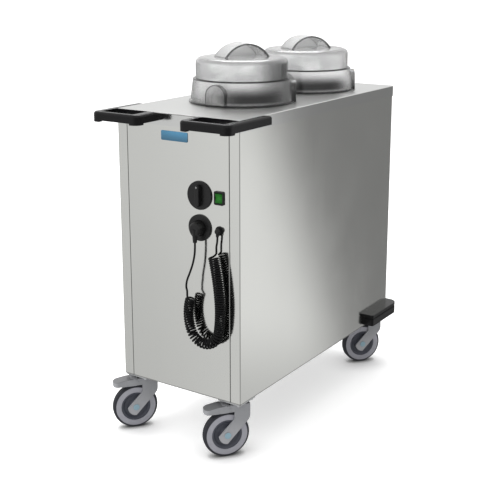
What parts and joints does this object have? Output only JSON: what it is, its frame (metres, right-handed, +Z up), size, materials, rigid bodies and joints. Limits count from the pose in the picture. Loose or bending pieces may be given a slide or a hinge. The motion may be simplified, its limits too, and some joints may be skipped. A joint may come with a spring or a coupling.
{
  "type": "heated plate dispenser trolley",
  "caption": "Wheeled steel cabinet with sprung plate wells under clear domed hoods, push handles, thermostat knob, lit switch and a curly mains cord.",
  "frame": {"origin": "on the floor under the middle of the cabinet", "axes": "+Z up, +X across the cabinet, -Y towards the handles and controls"},
  "size_m": [0.441, 0.9545, 1.0583],
  "materials": {
    "satin_steel": "satin stainless sheet",
    "polished_steel": "polished stainless sheet",
    "plain_steel": "plain stainless",
    "zinc_steel": "zinc plated",
    "clear_plastic": "clear polycarbonate",
    "black_moulding": "fine grained",
    "black_fitting": "satin",
    "green_rocker": "lit translucent",
    "cord_black": "matt",
    "caster_grey": "moulded",
    "axle_cap": "plain cap",
    "wheel_hub": "moulded",
    "tyre_grey": "soft grey rubber"
  },
  "bodies": {
    "cabinet": {"base_pan": "satin_steel", "bumper_left": "black_moulding", "bumper_right": "black_moulding", "cable_gland": "black_fitting", "caster_bolts": "zinc_steel", "caster_head_front_left": "zinc_steel", "caster_head_front_right": "zinc_steel", "caster_head_rear_left": "zinc_steel", "caster_head_rear_right": "zinc_steel", "cord_coil": "cord_black", "cord_gland_lead": "cord_black", "cord_plug_lead": "cord_black", "front_panel": "satin_steel", "guides_front": "plain_steel", "guides_rear": "plain_steel", "handle_left": "black_moulding", "handle_right": "black_moulding", "heater_front": "zinc_steel", "heater_rear": "zinc_steel", "parking_socket": "black_fitting", "plug": "black_fitting", "rear_panel": "satin_steel", "side_panel_left": "satin_steel", "side_panel_right": "satin_steel", "springs_front": "zinc_steel", "springs_rear": "zinc_steel", "switch_housing": "black_fitting", "thermostat": "black_fitting", "top_plate": "polished_steel"},
    "platform_front": {"platform_front": "plain_steel", "carriage_front": "plain_steel"},
    "hood_front": {"hood_front": "clear_plastic", "hood_handle_front": "clear_plastic"},
    "platform_rear": {"platform_rear": "plain_steel", "carriage_rear": "plain_steel"},
    "hood_rear": {"hood_rear": "clear_plastic", "hood_handle_rear": "clear_plastic"},
    "knob": {"knob": "black_fitting"},
    "rocker": {"switch_rocker": "green_rocker"},
    "swivel_front_left": {"fork_front_left": "caster_grey", "axle_front_left": "axle_cap"},
    "roller_front_left": {"wheel_front_left": "wheel_hub", "tyre_front_left": "tyre_grey"},
    "swivel_front_right": {"fork_front_right": "caster_grey", "axle_front_right": "axle_cap"},
    "roller_front_right": {"wheel_front_right": "wheel_hub", "tyre_front_right": "tyre_grey"},
    "swivel_rear_left": {"fork_rear_left": "caster_grey", "axle_rear_left": "axle_cap"},
    "roller_rear_left": {"wheel_rear_left": "wheel_hub", "tyre_rear_left": "tyre_grey"},
    "swivel_rear_right": {"fork_rear_right": "caster_grey", "axle_rear_right": "axle_cap"},
    "roller_rear_right": {"wheel_rear_right": "wheel_hub", "tyre_rear_right": "tyre_grey"},
    "pedal_front_left": {"brake_pedal_front_left": "caster_grey", "pedal_pad_front_left": "caster_grey"},
    "pedal_front_right": {"brake_pedal_front_right": "caster_grey", "pedal_pad_front_right": "caster_grey"}
  },
  "joints": [
    {"name": "platform_front_slide", "type": "slide", "parent": "cabinet", "child": "platform_front", "axis": [0, 0, 1], "range_m": [-0.52, 0], "stiffness_N_per_m": 640, "springref_m": 0.05, "deforming": ["springs_front"]},
    {"name": "hood_front_lift", "type": "slide", "parent": "cabinet", "child": "hood_front", "axis": [0, 0, 1], "range_m": [0, 0.25]},
    {"name": "platform_rear_slide", "type": "slide", "parent": "cabinet", "child": "platform_rear", "axis": [0, 0, 1], "range_m": [-0.52, 0], "stiffness_N_per_m": 640, "springref_m": 0.05, "deforming": ["springs_rear"]},
    {"name": "hood_rear_lift", "type": "slide", "parent": "cabinet", "child": "hood_rear", "axis": [0, 0, 1], "range_m": [0, 0.25]},
    {"name": "knob_turn", "type": "hinge", "parent": "cabinet", "child": "knob", "pos_m": [0.072, -0.4235, 0.7], "axis": [0, 1, 0], "range_deg": [0, 270]},
    {"name": "rocker_tilt", "type": "hinge", "parent": "cabinet", "child": "rocker", "pos_m": [0.132, -0.4185, 0.7], "axis": [1, 0, 0], "range_deg": [-8, 8]},
    {"name": "swivel_front_left", "type": "hinge", "parent": "cabinet", "child": "swivel_front_left", "pos_m": [-0.155, -0.3845, 0.14], "axis": [0, 0, 1], "continuous": true},
    {"name": "roll_front_left", "type": "hinge", "parent": "swivel_front_left", "child": "roller_front_left", "pos_m": [-0.17367, -0.40798, 0.0625], "axis": [0.7826, -0.6225, 0], "continuous": true},
    {"name": "swivel_front_right", "type": "hinge", "parent": "cabinet", "child": "swivel_front_right", "pos_m": [0.155, -0.3845, 0.14], "axis": [0, 0, 1], "continuous": true},
    {"name": "roll_front_right", "type": "hinge", "parent": "swivel_front_right", "child": "roller_front_right", "pos_m": [0.13633, -0.40798, 0.0625], "axis": [0.7826, -0.6225, 0], "continuous": true},
    {"name": "swivel_rear_left", "type": "hinge", "parent": "cabinet", "child": "swivel_rear_left", "pos_m": [-0.155, 0.3845, 0.14], "axis": [0, 0, 1], "continuous": true},
    {"name": "roll_rear_left", "type": "hinge", "parent": "swivel_rear_left", "child": "roller_rear_left", "pos_m": [-0.17367, 0.36102, 0.0625], "axis": [0.7826, -0.6225, 0], "continuous": true},
    {"name": "swivel_rear_right", "type": "hinge", "parent": "cabinet", "child": "swivel_rear_right", "pos_m": [0.155, 0.3845, 0.14], "axis": [0, 0, 1], "continuous": true},
    {"name": "roll_rear_right", "type": "hinge", "parent": "swivel_rear_right", "child": "roller_rear_right", "pos_m": [0.13633, 0.36102, 0.0625], "axis": [0.7826, -0.6225, 0], "continuous": true},
    {"name": "brake_front_left", "type": "hinge", "parent": "swivel_front_left", "child": "pedal_front_left", "pos_m": [-0.17367, -0.40798, 0.13785], "axis": [0.7826, -0.6225, 0], "range_deg": [0, 3.5]},
    {"name": "brake_front_right", "type": "hinge", "parent": "swivel_front_right", "child": "pedal_front_right", "pos_m": [0.13633, -0.40798, 0.13785], "axis": [0.7826, -0.6225, 0], "range_deg": [0, 3.5]}
  ]
}
